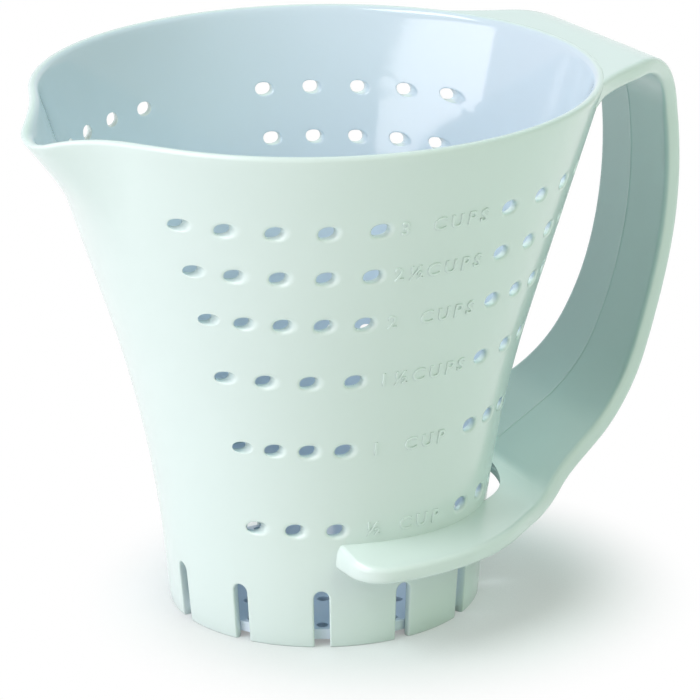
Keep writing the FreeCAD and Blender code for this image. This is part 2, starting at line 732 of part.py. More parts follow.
os.makedirs("parts", exist_ok=True)
for piece in pieces:
    piece.Shape.exportStep("parts/%s.step" % piece.Label)
    box = piece.Shape.BoundBox
    print("%-14s solids %d  volume %.0f  x %.1f..%.1f  y %.1f..%.1f  z %.1f..%.1f" % (
        piece.Label, len(piece.Shape.Solids), piece.Shape.Volume,
        box.XMin, box.XMax, box.YMin, box.YMax, box.ZMin, box.ZMax))
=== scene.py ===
import bmesh
import bpy
import math
import numpy as np
from mathutils import Matrix


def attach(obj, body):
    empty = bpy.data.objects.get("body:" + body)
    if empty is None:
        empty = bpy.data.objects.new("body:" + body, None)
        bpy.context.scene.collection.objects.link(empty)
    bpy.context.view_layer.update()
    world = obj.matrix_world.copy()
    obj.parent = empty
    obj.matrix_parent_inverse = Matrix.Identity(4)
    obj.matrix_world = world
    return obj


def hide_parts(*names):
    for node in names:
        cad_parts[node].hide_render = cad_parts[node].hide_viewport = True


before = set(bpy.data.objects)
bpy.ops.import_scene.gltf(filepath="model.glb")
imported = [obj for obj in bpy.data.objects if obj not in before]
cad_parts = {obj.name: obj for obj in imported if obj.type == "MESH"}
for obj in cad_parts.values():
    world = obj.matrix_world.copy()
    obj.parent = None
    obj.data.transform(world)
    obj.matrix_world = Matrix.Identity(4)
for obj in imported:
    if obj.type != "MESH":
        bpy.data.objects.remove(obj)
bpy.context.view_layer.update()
mm = 0.001

# Measuring colander in one glossy pale mint plastic: a flared cup with a pouring spout,
# rows of holes, a slotted foot, and a wide ribbon handle that ends in a collar.
# Sizes are in millimetres until a mesh is made.


# An empty material with one Principled shader on its output.
def newMaterial(name):
    material = bpy.data.materials.new(name)
    material.use_nodes = True
    tree = material.node_tree
    tree.nodes.clear()
    output = tree.nodes.new("ShaderNodeOutputMaterial")
    shader = tree.nodes.new("ShaderNodeBsdfPrincipled")
    tree.links.new(shader.outputs["BSDF"], output.inputs["Surface"])
    return material, tree, shader


# Plastic

plastic = dict(
    body=(0.715, 0.815, 0.785),        # colour of the thick walls, linear
    thin=(0.76, 0.85, 0.83),           # slightly clearer patches
    inside=(0.54, 0.69, 0.685),        # painted shade: darker colour for faces turned to the cup's axis
    roughness=0.2,
    roughnessInside=0.2,
    roughnessSpread=0.04,
    flowSize=18.0,                     # waves per metre of the moulding's flow
    flowDetail=2.0,
    grainSize=900.0,
    grainDetail=3.0,
    grainDepth=0.00001,
    insideShadeTurn=(-0.2, -0.6),           # 0 is edge-on to the cup's axis, -1 straight at it
    bending=1.5,
    coat=0.25,
    coatRoughness=0.06,
)


# Moulded plastic: slow colour flow, uneven polish, and a very fine surface grain. Painted shade:
# faces turned towards the axis take the darker inside colour in place of the body colour, by a
# mask that is the dot product of the face's normal and the level direction away from the axis.
def makePlasticGroup():
    group = bpy.data.node_groups.new("mouldedPlastic", "ShaderNodeTree")
    face = group.interface
    for name, kind, value in (
        ("Body Colour", "NodeSocketColor", (0.8, 0.8, 0.8, 1)),
        ("Thin Colour", "NodeSocketColor", (0.9, 0.9, 0.9, 1)),
        ("Inside Shade Colour", "NodeSocketColor", (0.8, 0.8, 0.8, 1)),
        ("Flow Scale", "NodeSocketFloat", 10.0),
        ("Grain Scale", "NodeSocketFloat", 900.0),
        ("Polish", "NodeSocketFloat", 0.2),
        ("Inside Polish", "NodeSocketFloat", 0.2),
        ("Polish Spread", "NodeSocketFloat", 0.05),
    ):
        socket = face.new_socket(name, in_out="INPUT", socket_type=kind)
        socket.default_value = value
    face.new_socket("Colour", in_out="OUTPUT", socket_type="NodeSocketColor")
    face.new_socket("Roughness", in_out="OUTPUT", socket_type="NodeSocketFloat")
    face.new_socket("Grain", in_out="OUTPUT", socket_type="NodeSocketFloat")
    nodes, links = group.nodes, group.links
    entry = nodes.new("NodeGroupInput")
    leave = nodes.new("NodeGroupOutput")
    place = nodes.new("ShaderNodeTexCoord")
    flow = nodes.new("ShaderNodeTexNoise")
    flow.inputs["Detail"].default_value = plastic["flowDetail"]
    grain = nodes.new("ShaderNodeTexNoise")
    grain.inputs["Detail"].default_value = plastic["grainDetail"]
    blend = nodes.new("ShaderNodeMix")
    blend.data_type = "RGBA"
    spread = nodes.new("ShaderNodeMath")
    spread.operation = "MULTIPLY_ADD"
    links.new(place.outputs["Object"], flow.inputs["Vector"])
    links.new(place.outputs["Object"], grain.inputs["Vector"])
    links.new(entry.outputs["Flow Scale"], flow.inputs["Scale"])
    links.new(entry.outputs["Grain Scale"], grain.inputs["Scale"])
    links.new(flow.outputs["Fac"], blend.inputs["Factor"])
    links.new(entry.outputs["Body Colour"], blend.inputs["A"])
    links.new(entry.outputs["Thin Colour"], blend.inputs["B"])
    links.new(flow.outputs["Fac"], spread.inputs[0])
    links.new(entry.outputs["Polish Spread"], spread.inputs[1])
    faceWay = nodes.new("ShaderNodeNewGeometry")
    flat = nodes.new("ShaderNodeVectorMath")
    flat.operation = "MULTIPLY"
    flat.inputs[1].default_value = (1, 1, 0)
    unit = nodes.new("ShaderNodeVectorMath")
    unit.operation = "NORMALIZE"
    outward = nodes.new("ShaderNodeVectorMath")
    outward.operation = "DOT_PRODUCT"
    # painted shade: this mask picks the faces turned towards the axis, which take the inside colour
    inner = nodes.new("ShaderNodeMapRange")
    inner.inputs["From Min"].default_value = plastic["insideShadeTurn"][0]
    inner.inputs["From Max"].default_value = plastic["insideShadeTurn"][1]
    links.new(place.outputs["Object"], flat.inputs[0])
    links.new(flat.outputs["Vector"], unit.inputs[0])
    links.new(unit.outputs["Vector"], outward.inputs[0])
    links.new(faceWay.outputs["Normal"], outward.inputs[1])
    links.new(outward.outputs["Value"], inner.inputs["Value"])
    both = nodes.new("ShaderNodeMix")
    both.data_type = "RGBA"
    links.new(inner.outputs["Result"], both.inputs["Factor"])
    links.new(blend.outputs["Result"], both.inputs["A"])
    links.new(entry.outputs["Inside Shade Colour"], both.inputs["B"])
    polish = nodes.new("ShaderNodeMix")
    links.new(inner.outputs["Result"], polish.inputs["Factor"])
    links.new(entry.outputs["Polish"], polish.inputs["A"])
    links.new(entry.outputs["Inside Polish"], polish.inputs["B"])
    links.new(polish.outputs["Result"], spread.inputs[2])
    links.new(both.outputs["Result"], leave.inputs["Colour"])
    links.new(spread.outputs["Value"], leave.inputs["Roughness"])
    links.new(grain.outputs["Fac"], leave.inputs["Grain"])
    return group


# One finish of the plastic: the group's colour, roughness and grain under a thin clear coat.
def makePlastic(name, group, **changes):
    look = dict(plastic, **changes)
    material, tree, shader = newMaterial(name)
    mould = tree.nodes.new("ShaderNodeGroup")
    mould.node_tree = group
    mould.inputs["Body Colour"].default_value = (*look["body"], 1)
    mould.inputs["Thin Colour"].default_value = (*look["thin"], 1)
    mould.inputs["Inside Shade Colour"].default_value = (*look["inside"], 1)
    mould.inputs["Flow Scale"].default_value = look["flowSize"]
    mould.inputs["Grain Scale"].default_value = look["grainSize"]
    mould.inputs["Polish"].default_value = look["roughness"]
    mould.inputs["Inside Polish"].default_value = look["roughnessInside"]
    mould.inputs["Polish Spread"].default_value = look["roughnessSpread"]
    bump = tree.nodes.new("ShaderNodeBump")
    bump.inputs["Distance"].default_value = look["grainDepth"]
    tree.links.new(mould.outputs["Colour"], shader.inputs["Base Color"])
    tree.links.new(mould.outputs["Roughness"], shader.inputs["Roughness"])
    tree.links.new(mould.outputs["Grain"], bump.inputs["Height"])
    tree.links.new(bump.outputs["Normal"], shader.inputs["Normal"])
    shader.inputs["IOR"].default_value = look["bending"]
    shader.inputs["Coat Weight"].default_value = look["coat"]
    shader.inputs["Coat Roughness"].default_value = look["coatRoughness"]
    return material


plasticGroup = makePlasticGroup()
mintPlastic = makePlastic("mintPlastic", plasticGroup)
# painted light and shade: the cup's faces turned to its axis take this cooler, bluer colour for the
# blue top light and shade inside; the lower roughness inside is not painted
cupInsideShade = (0.67, 0.765, 0.85)
cupPlastic = makePlastic("cupPlastic", plasticGroup, inside=cupInsideShade, roughnessInside=0.06)
# painted light: the drain floor's body is tinted blue to stand in for the cool light inside the cup
drainFloorBlueLitPlastic = makePlastic("drainFloorPlastic", plasticGroup, body=(0.74, 0.82, 0.93),
                           thin=(0.76, 0.84, 0.94), inside=cupInsideShade)
for name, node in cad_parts.items():
    node.data.materials.clear()
    node.data.materials.append(drainFloorBlueLitPlastic if name == "drain_floor" else mintPlastic)
print("materials made")


# Cup: wall and foot in one skin

cup = dict(
    footRadius=38.0, footSlope=0.081, wallSlope=0.311, flareRadius=290.0,
    rimRadius=68.4, rimHeight=130.6, inset=2.2, raised=0.8, lipHeight=1.17,
    spoutFoot=108.0, spoutDepth=22.6, spoutReach=11.45, spoutNose=9.5, spoutFlank=55.0,
    softStart=0.3,                     # how gently the spout starts, as a share of its depth
    dipStart=58.0, dipRadius=38.0, dipMost=0.9, dipTurns=12, dipFade=14.6,
    columns=288, columnCrowd=0.5, rowStep=1.9, rimRows=13, rimBlend=8.0, lipSteps=9,
    footRows=(0, 0.07, 0.2, 0.45, 4, 8, 11, 13, 15),
    bandRows=(-0.66, -0.33, 0, 0.33, 0.66, 1),             # shares of holeBand
    holeRows=((30.9, 3, 10, 13), (52.4, 4, 9, 11), (71.1, 4, 9, 11),
              (86.6, 5, 8, 8), (99.2, 5, 8, 8), (111.1, 5, 8, 8)),
    holeStart=16.9, holeEdgeAngle=50.0, holeEdgeGain=0.1,
    holeHeight=3.2, holeWidth=5.0, holeNarrowing=2.2, holeShape=2.15,
    holeRound=0.85, holeRoundInside=0.25, holeSupport=0.12, holeBand=3.4,
    holeBeside=0.6, holeRoom=0.92,
    slots=12, slotWidth=3.7, slotHeight=14.8, slotBand=16.6, slotRound=0.35, slotSupport=0.3,
    slotSpan=8, slotRows=(0, 0.07, 0.2, 0.45, 4, 8, 10.6),
    footRound=0.45,
)
# each row of holes: height, holes in a group, columns for a hole, columns before the first


# Outer radius by height: the foot's straight slope, an arc, then the wall's straight slope.
def wallRadius(height):
    low, high = math.atan(cup["footSlope"]), math.atan(cup["wallSlope"])
    bow = cup["flareRadius"]
    spare = cup["rimRadius"] - cup["footRadius"] - cup["footSlope"] * cup["rimHeight"]
    cornerHeight = cup["rimHeight"] - spare / (cup["wallSlope"] - cup["footSlope"])
    cornerRadius = cup["footRadius"] + cup["footSlope"] * cornerHeight
    reach = bow * math.tan((high - low) / 2)
    startRadius = cornerRadius - reach * math.sin(low)
    startHeight = cornerHeight - reach * math.cos(low)
    endRadius = cornerRadius + reach * math.sin(high)
    endHeight = cornerHeight + reach * math.cos(high)
    centreRadius = startRadius + bow * math.cos(low)
    centreHeight = startHeight - bow * math.sin(low)
    arc = centreRadius - np.sqrt(np.maximum(bow ** 2 - (height - centreHeight) ** 2, 0))
    below = startRadius - cup["footSlope"] * (startHeight - height)
    above = endRadius + cup["wallSlope"] * (height - endHeight)
    return np.where(height < startHeight, below, np.where(height > endHeight, above, arc))


# Distance from the axis by angle and height. The outline is the wall's circle, a nose circle
# that moves out and shrinks with height, and two hollow flank circles that touch both.
def spoutedRadius(angle, height, inset=0.0):
    base = wallRadius(height)
    share = (height - cup["spoutFoot"]) / cup["spoutDepth"]
    share = (share + np.sqrt(share ** 2 + cup["softStart"] ** 2)) / 2
    nose = 1 / (1 / base + (1 / cup["spoutNose"] - 1 / base) * share)
    reach = base + cup["spoutReach"] * share - nose
    far = base + cup["spoutFlank"]
    flankX = (far ** 2 - (nose + cup["spoutFlank"]) ** 2 + reach ** 2) / (2 * reach)
    flankY = np.sqrt(np.maximum(far ** 2 - flankX ** 2, 0))
    leave = np.arctan2(flankY, flankX)
    lean = np.arctan2(flankY, flankX - reach)
    tip = nose - inset
    noseEnd = np.arctan2(tip * np.sin(lean), reach + tip * np.cos(lean))
    off = np.abs(np.mod(angle, 2 * np.pi) - np.pi)
    onNose = reach * np.cos(off) + np.sqrt(np.maximum(tip ** 2 - (reach * np.sin(off)) ** 2, 0))
    across = far * np.sin(leave - off)
    onFlank = far * np.cos(leave - off) - np.sqrt(
        np.maximum((cup["spoutFlank"] + inset) ** 2 - across ** 2, 0))
    return np.where(off < noseEnd, onNose, np.where(off < leave, onFlank, base - inset))


# How far the foot's lower edge is rounded back at a height: a quarter circle.
def footEdge(height):
    left = np.clip(cup["footRound"] - height, 0, cup["footRound"])
    return cup["footRound"] - np.sqrt(cup["footRound"] ** 2 - left ** 2)


# Radius of the outer skin, or of the inner one, which lies the wall's thickness further in.
def skinRadius(angle, height, inside):
    if inside:
        return spoutedRadius(angle, height - cup["raised"], cup["inset"]) + footEdge(height)
    return spoutedRadius(angle, height) - footEdge(height)


# Angles from the Y axis of a group's first hole and the step to the next, and the radius
# that they are measured on, halfway through the wall.
def holeAngles(height, count):
    middle = float(wallRadius(height) + wallRadius(height - cup["raised"]) - cup["inset"]) / 2
    first = math.asin(cup["holeStart"] / middle)
    last = math.radians(cup["holeEdgeAngle"] + cup["holeEdgeGain"] * height)
    return first, (last - first) / (count - 1), middle


# Angle from the Y axis of each column of a quarter turn, for one row of holes: straight runs
# between the edges of the holes' cells. Columns crowd towards the X axis.
def columnMap(row, inside, atRim=False):
    height, count, span, before = row
    quarter = cup["columns"] // 4
    first, step, middle = holeAngles(height, count)
    edges = first + step * (np.arange(count + 1) - 0.5)
    if not atRim:
        radius = wallRadius(height - cup["raised"]) - cup["inset"] if inside else wallRadius(height)
        edges = np.arcsin(middle * np.sin(edges) / float(radius))
    stops = before + span * np.arange(count + 1)
    index = np.arange(quarter + 1)
    angles = np.interp(index, np.concatenate([[0], stops]), np.concatenate([[0], edges]))
    late = np.clip((index - stops[-1]) / (quarter - stops[-1]), 0, 1)
    eased = late * (1 + cup["columnCrowd"] * (1 - late))
    return np.where(index > stops[-1], edges[-1] + (np.pi / 2 - edges[-1]) * eased, angles)


# Four mirrored quarters, as angles from the X axis, anticlockwise.
def turnOf(quarterAngles):
    part = quarterAngles[:-1]
    back = quarterAngles[:0:-1]
    return np.concatenate([np.pi / 2 - back, np.pi / 2 + part, 3 * np.pi / 2 - back,
                           3 * np.pi / 2 + part])


# Heights of the skin's rows, and where the band of each row of holes starts.
def skinRows():
    heights = [*cup["footRows"], cup["slotBand"]]
    starts = []
    for z0, *_ in cup["holeRows"]:
        gap = z0 - cup["holeBand"] - heights[-1]
        steps = max(1, round(gap / cup["rowStep"]))
        heights += list(np.linspace(heights[-1], z0 - cup["holeBand"], steps + 1)[1:])
        starts.append(len(heights) - 1)
        heights += [z0 + cup["holeBand"] * part for part in cup["bandRows"]]
    top = cup["rimHeight"] - cup["lipHeight"]
    heights += list(np.linspace(heights[-1], top, cup["rimRows"])[1:])
    return np.array(heights, float), starts


# Every row's column angles: each band of holes has its own map, and the rows between
# blend from one map to the next.
def skinAngles(heights, starts, inside):
    even = np.linspace(0, np.pi / 2, cup["columns"] // 4 + 1)
    levels, maps = [0.0, cup["slotBand"]], [even, even]
    for row, start in zip(cup["holeRows"], starts):
        own = columnMap(row, inside)
        levels += [row[0] - cup["holeBand"], row[0] + cup["holeBand"]]
        maps += [own, own]
    levels.append(levels[-1] + cup["rimBlend"])
    maps.append(columnMap(cup["holeRows"][-1], inside, atRim=True))
    quarter = np.stack([np.interp(heights, levels, column) for column in np.array(maps).T], 1)
    return np.stack([turnOf(line) for line in quarter])


# How far the rim falls away along one arc towards the spout's tip. The tip draws in as it
# falls, so place and fall are found in turns.
def lipDip(angle):
    fall = 0 * angle
    for _ in range(cup["dipTurns"]):
        x = spoutedRadius(angle, cup["rimHeight"] - fall) * np.cos(angle)
        past = np.clip(-x - cup["dipStart"], 0, cup["dipMost"] * cup["dipRadius"])
        fall = cup["dipRadius"] - np.sqrt(cup["dipRadius"] ** 2 - past ** 2)
    return fall


# Gathers points and four-sided faces as arrays.
class Weave:

    def __init__(self, room=400000):
        self.store, self.faces, self.count = np.zeros((room, 3)), [], 0

    def add(self, points):
        size = points[..., 0].size
        self.store[self.count:self.count + size] = points.reshape(-1, 3)
        numbers = self.count + np.arange(size).reshape(points.shape[:-1])
        self.count += size
        return numbers

    def quads(self, a, b, c, d):
        self.faces.append(np.stack([a.ravel(), b.ravel(), c.ravel(), d.ravel()], 1))

    def strip(self, one, two, closed=False):
        if closed:
            self.quads(one, np.roll(one, -1), np.roll(two, -1), two)
        else:
            self.quads(one[:-1], one[1:], two[1:], two[:-1])

    def make(self, name):
        faces = np.concatenate(self.faces)
        used, faces = np.unique(faces, return_inverse=True)
        return makeMesh(name, self.store[used] * mm, faces.reshape(-1, 4))


# A smooth mesh in metres, with doubles merged first and its normals turned outwards.
def makeMesh(name, points, faces):
    mesh = bpy.data.meshes.new(name)
    mesh.from_pydata(points.tolist(), [], faces.tolist())
    shell = bmesh.new()
    shell.from_mesh(mesh)
    bmesh.ops.remove_doubles(shell, verts=shell.verts, dist=1e-7)
    bmesh.ops.recalc_face_normals(shell, faces=shell.faces)
    shell.to_mesh(mesh)
    shell.free()
    mesh.polygons.foreach_set("use_smooth", np.ones(len(mesh.polygons), bool))
    thing = bpy.data.objects.new(name, mesh)
    bpy.context.collection.objects.link(thing)
    return thing


# The grid's numbers round a block: up one side, over, down the other side, and back.
def blockEdge(numbers, row, rows, columns, closed=True):
    sides = numbers[row:row + rows + 1]
    up, down = sides[:, columns[0]], sides[:, columns[-1]]
    over, under = sides[-1, columns[1:-1]], sides[0, columns[1:-1]]
    return np.concatenate([up, over, down[::-1]] + ([under[::-1]] if closed else []))


# Rings from a cell's edge in to the hole. Each is the hole's rounded outline, wider by an
# offset and laid on the wall along Y; the last ones turn into the hole on a quarter circle.
def holeRings(skin, edge, x0, z0, side, size, inside):
    around = skin.store[edge]
    half = np.ptp(around[:, 0]) / 2
    turn = np.arctan2((around[:, 2] - z0) / cup["holeBand"], (around[:, 0] - x0) / half)
    power = 2 / cup["holeShape"]
    outX = np.sign(np.cos(turn)) * np.abs(np.cos(turn)) ** power
    outZ = np.sign(np.sin(turn)) * np.abs(np.sin(turn)) ** power
    beside = np.abs(around[np.abs(around[:, 2] - z0) < cup["holeBeside"] * cup["holeBand"], 0] - x0)
    room = cup["holeRoom"] * beside.min() - size[0] / 2 - cup["holeSupport"]
    soft = min(cup["holeRoundInside"] if inside else cup["holeRound"], room)
    bends = np.radians((0, 0, 45, 90) if inside else (0, 0, 30, 60, 90))
    last = edge
    for number, bend in enumerate(bends):
        offset = soft * (1 - math.sin(bend)) + (cup["holeSupport"] if number == 0 else 0)
        depth = soft * (1 - math.cos(bend))
        x, z = x0 + (size[0] / 2 + offset) * outX, z0 + (size[1] / 2 + offset) * outZ
        radius = wallRadius(z - cup["raised"]) - cup["inset"] if inside else wallRadius(z)
        y = side * (np.sqrt(radius ** 2 - x ** 2) + (depth if inside else -depth))
        ring = skin.add(np.stack([x, y, z], 1))
        skin.strip(last, ring, True)
        last = ring
    return last


# Rings from a cell's edge in to a foot slot, open at the table: upright sides and a half
# circle, wider by an offset, laid on the foot along the slot's own direction.
def slotRings(skin, edge, turn, span, inside):
    half = cup["slotWidth"] / 2
    spring = cup["slotHeight"] - half
    rise = np.array([*cup["slotRows"], spring])
    arch = np.radians(np.concatenate([[157.5], np.linspace(135, 45, span + 1), [22.5]]))
    ends, last = [edge[[0, -1]]], edge
    for number, bend in enumerate(np.radians((0, 0, 45, 90))):
        offset = cup["slotRound"] * (1 - math.sin(bend))
        offset += cup["slotSupport"] if number == 0 else 0
        depth = cup["slotRound"] * (1 - math.cos(bend))
        wide = half + offset
        upright = np.full(len(rise), wide)
        aside = np.concatenate([-upright, wide * np.cos(arch), upright])
        z = np.concatenate([rise, spring + wide * np.sin(arch), rise[::-1]])
        if inside:
            radius = wallRadius(z - cup["raised"]) - cup["inset"] + footEdge(z)
        else:
            radius = wallRadius(z) - footEdge(z)
        out = np.sqrt(radius ** 2 - aside ** 2) + (depth if inside else -depth)
        ring = skin.add(np.stack([out * math.cos(turn) - aside * math.sin(turn),
                                  out * math.sin(turn) + aside * math.cos(turn), z], 1))
        skin.strip(last, ring)
        ends.append(ring[[0, -1]])
        last = ring
    return last, np.array(ends)


# Outer and inner skin on one grid of angle and height, joined by the lip, the foot's
# underside, and the walls of every hole and slot.
def makeCup():
    skin = Weave()
    heights, starts = skinRows()
    rows, count = len(heights) - 1, cup["columns"]
    fade = np.clip((heights - cup["rimHeight"] + cup["dipFade"]) / cup["dipFade"], 0, 1)[:, None]
    grids = []
    for inside in (False, True):
        angles = skinAngles(heights, starts, inside)
        z = heights[:, None] - fade ** 2 * (3 - 2 * fade) * lipDip(angles)
        radius = skinRadius(angles, z, inside)
        grids.append(skin.add(np.stack([radius * np.cos(angles), radius * np.sin(angles), z], 2)))
    free = np.ones((rows, count), bool)
    bandRows = len(cup["bandRows"])

    for (z0, holes, span, before), start in zip(cup["holeRows"], starts):
        first, step, middle = holeAngles(z0, holes)
        for number in range(holes):
            angle = first + step * number
            size = (cup["holeWidth"] - cup["holeNarrowing"] * math.sin(angle), cup["holeHeight"])
            cells = before + span * number + np.arange(span + 1)
            for sideX, sideY in ((1, 1), (1, -1), (-1, 1), (-1, -1)):
                base = count // 4 if sideY > 0 else 3 * count // 4
                columns = base + cells if sideX * sideY < 0 else base - cells[::-1]
                columns = columns % count
                free[start:start + bandRows, columns[:-1]] = False
                tubes = [holeRings(skin, blockEdge(grid, start, bandRows, columns),
                                   sideX * middle * math.sin(angle), z0, sideY, size, inside)
                         for grid, inside in zip(grids, (False, True))]
                skin.strip(*tubes, True)

    span, slotRows = cup["slotSpan"], len(cup["footRows"])
    under = np.ones(count, bool)
    for number in range(cup["slots"]):
        middle = number * count // cup["slots"]
        columns = (middle + np.arange(span + 1) - span // 2) % count
        free[:slotRows, columns[:-1]] = False
        under[columns[:-1]] = False
        tubes, ends = zip(*[slotRings(skin, blockEdge(grid, 0, slotRows, columns, False),
                                      2 * math.pi * number / cup["slots"], span, inside)
                            for grid, inside in zip(grids, (False, True))])
        skin.strip(*tubes)
        for edge in (0, 1):
            skin.strip(ends[0][:, edge], ends[1][:, edge])

    row, column = np.nonzero(free)
    following = (column + 1) % count
    for grid in grids:
        skin.quads(grid[row, column], grid[row, following],
                   grid[row + 1, following], grid[row + 1, column])
    column = np.nonzero(under)[0]
    following = (column + 1) % count
    skin.quads(grids[0][0, column], grids[0][0, following],
               grids[1][0, following], grids[1][0, column])

    # the lip: half an ellipse from the outer skin over to the inner one
    outer, inner = (skin.store[grid[-1]] for grid in grids)
    before = (skin.store[grids[0][-2]] + skin.store[grids[1][-2]]) / 2
    middle, half = (outer + inner) / 2, (outer - inner) / 2
    rise = middle - before
    rise *= np.linalg.norm(half, axis=1, keepdims=True) / np.linalg.norm(
        rise, axis=1, keepdims=True)
    last = grids[0][-1]
    for turn in np.linspace(0, np.pi, cup["lipSteps"])[1:-1]:
        ring = skin.add(middle + half * np.cos(turn) + rise * np.sin(turn))
        skin.strip(last, ring, True)
        last = ring
    skin.strip(last, grids[1][-1], True)
    return skin.make("strainerCup")


strainerCup = makeCup()
strainerCup.data.materials.append(cupPlastic)
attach(strainerCup, "root")
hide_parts("strainer_wall", "foot_ring")
print("cup made:", len(strainerCup.data.polygons), "faces")


# Handle and collar: one bent strip, split round the cup at both ends

ribbon = dict(
    top=130.6, drop=0.35, thick=4.2, plateEnd=73.0,
    bends=((16.4, 82.5), (103.4, 33.5), (39.5, 35.0)),     # radius and turn of each arc of the grip
    run=17.15, rootRadius=21.3, rootEnd=38.0, tip=-16.8, pathSteps=12001,
    halfWidth=14.1, face=90.14, neck=3.0, neckTurn=62.0, neckRun=2.8, shoulder=22.0,
    easeStart=70.0, easeEnd=98.0, evenReach=8.0, evenSteps=13, evenFade=5.0, evenEnd=207.0,
    spare=1.0, spareFade=30.0,
    rimHollow=66.0, rimReach=66.6, rimHold=66.85, bendFrom=86.0,
    apronBow=20.0, apronSlope=0.345, hip=12.0, hipAngle=54.2, collarRadius=52.0, tipRound=9.0,
    gapPlace=13.9, gapRadius=32.8, collarMiddle=25.0, buried=1.9,
    edgeRound=1.3, edgeShare=0.45, gapRound=0.9, holdRound=0.3, crown=0.8,
    collarLift=1.3, tipLift=1.2, liftStart=25.0, liftRun=35.0, liftSlope=10.0,
    lineRise=0.14, lineFade=20.0, lineShape=(1.0, 0.7),    # parting line: its first two columns
    lineColumns=(0, 0.16, 0.3, 0.6), lineMost=0.02,        # in mm, and the most as a share
    faceColumns=(0.1, 0.2, 0.3, 0.4, 0.5, 0.6, 0.7, 0.8, 0.88, 0.94, 0.98, 1.0),
    rows=dict(wing=26, plate=16, bend=14, grip=60, root=50, gap=24, arm=30, tip=14, end=7),
)


# The inner face's middle line seen from the side, in small steps: the heading is constant on
# straight runs and grows evenly on arcs, and the line is the running sum of its direction.
def ribbonPath():
    lengths, turns = [ribbon["plateEnd"]], [0.0]
    for radius, turn in ribbon["bends"]:
        lengths.append(radius * math.radians(turn))
        turns.append(math.radians(turn))
    left = math.pi - sum(turns)
    lengths += [ribbon["run"], ribbon["rootRadius"] * left, ribbon["rootEnd"] - ribbon["tip"]]
    turns += [0.0, left, 0.0]
    stops = np.concatenate([[0], np.cumsum(lengths)])
    s = np.linspace(0, stops[-1], ribbon["pathSteps"])
    turn = np.interp(s, stops, np.concatenate([[0], np.cumsum(turns)]))
    step = np.diff(s)
    middle = (turn[1:] + turn[:-1]) / 2
    x = np.concatenate([[0], np.cumsum(step * np.cos(middle))])
    z = ribbon["top"] - ribbon["drop"] - ribbon["thick"] - np.concatenate(
        [[0], np.cumsum(step * np.sin(middle))])
    return s, x, z, turn, stops


# Points on an arc between two directions, in radians.
def arcPoints(centre, radius, start, end, count):
    turn = np.linspace(start, end, count)
    return np.stack([centre[0] + radius * np.cos(turn), centre[1] + radius * np.sin(turn)], 1)


# The crossing of two circles that lies further along +Y.
def circlesMeet(one, oneRadius, two, twoRadius):
    one, two = np.array(one, float), np.array(two, float)
    apart = np.linalg.norm(two - one)
    along = (oneRadius ** 2 - twoRadius ** 2 + apart ** 2) / (2 * apart)
    aside = math.sqrt(oneRadius ** 2 - along ** 2)
    way = (two - one) / apart
    across = np.array([-way[1], way[0]])
    return max((one + along * way + side * aside * across for side in (1, -1)),
               key=lambda point: point[1])


# Half the plan of the handle's top, from the rim out: hollow arc, shoulder arc, neck arc.
def topPlan():
    r = ribbon
    turn = math.radians(r["neckTurn"])
    neck = np.array([r["face"], r["halfWidth"] + r["neck"]])
    neckEnd = neck - r["neck"] * np.array([math.sin(turn), math.cos(turn)])
    runEnd = neckEnd + r["neckRun"] * np.array([-math.cos(turn), math.sin(turn)])
    shoulder = runEnd - r["shoulder"] * np.array([math.sin(turn), math.cos(turn)])
    hollow = circlesMeet((0, 0), r["rimReach"] + r["rimHollow"],
                         shoulder, r["shoulder"] + r["rimHollow"])
    toRim = math.atan2(-hollow[1], -hollow[0])
    toShoulder = math.atan2(*(shoulder - hollow)[::-1])
    fromHollow = math.atan2(*(hollow - shoulder)[::-1])
    return np.concatenate([
        arcPoints(hollow, r["rimHollow"], toRim, toShoulder, 40),
        arcPoints(shoulder, r["shoulder"], fromHollow, math.pi / 2 - turn, 30),
        arcPoints(neck, r["neck"], -math.pi / 2 - turn, -math.pi / 2, 16)])


# Half the plan from the grip down: bow arc, slope, hip arc, tangent and the collar's circle.
def lowPlan():
    r = ribbon
    slope, angle = math.atan(r["apronSlope"]), math.radians(r["hipAngle"])
    bow = np.array([r["face"], r["halfWidth"] + r["apronBow"]])
    flat = np.array([math.sin(slope), math.cos(slope)])
    steep = np.array([math.cos(angle), math.sin(angle)])
    bowEnd = bow - r["apronBow"] * flat
    hip = np.linalg.solve([flat, steep], [bowEnd @ flat + r["hip"], r["collarRadius"] + r["hip"]])
    corner = np.array([r["tip"] + r["tipRound"], 0.0])
    corner[1] = math.sqrt((r["collarRadius"] - r["tipRound"]) ** 2 - corner[0] ** 2)
    last = math.atan2(corner[1], corner[0])
    return np.concatenate([
        arcPoints(bow, r["apronBow"], -math.pi / 2, -math.pi / 2 - slope, 12),
        arcPoints(hip, r["hip"], -math.pi / 2 - slope, angle - math.pi, 16),
        arcPoints((0, 0), r["collarRadius"], angle, last, 60)]), corner, last


# A line moved sideways by a distance; a mirrored start keeps it square to the middle plane.
def offsetLine(line, distance, side, mirrored):
    run = np.concatenate([[line[1] * (1, -1)], line]) if mirrored else line
    way = np.gradient(run, axis=0)
    way = way[1:] if mirrored else way
    if mirrored:
        way[0] = (0, 1)
    way /= np.linalg.norm(way, axis=1, keepdims=True)
    return line + side * np.reshape(distance, (-1, 1)) * np.stack([way[:, 1], -way[:, 0]], 1)


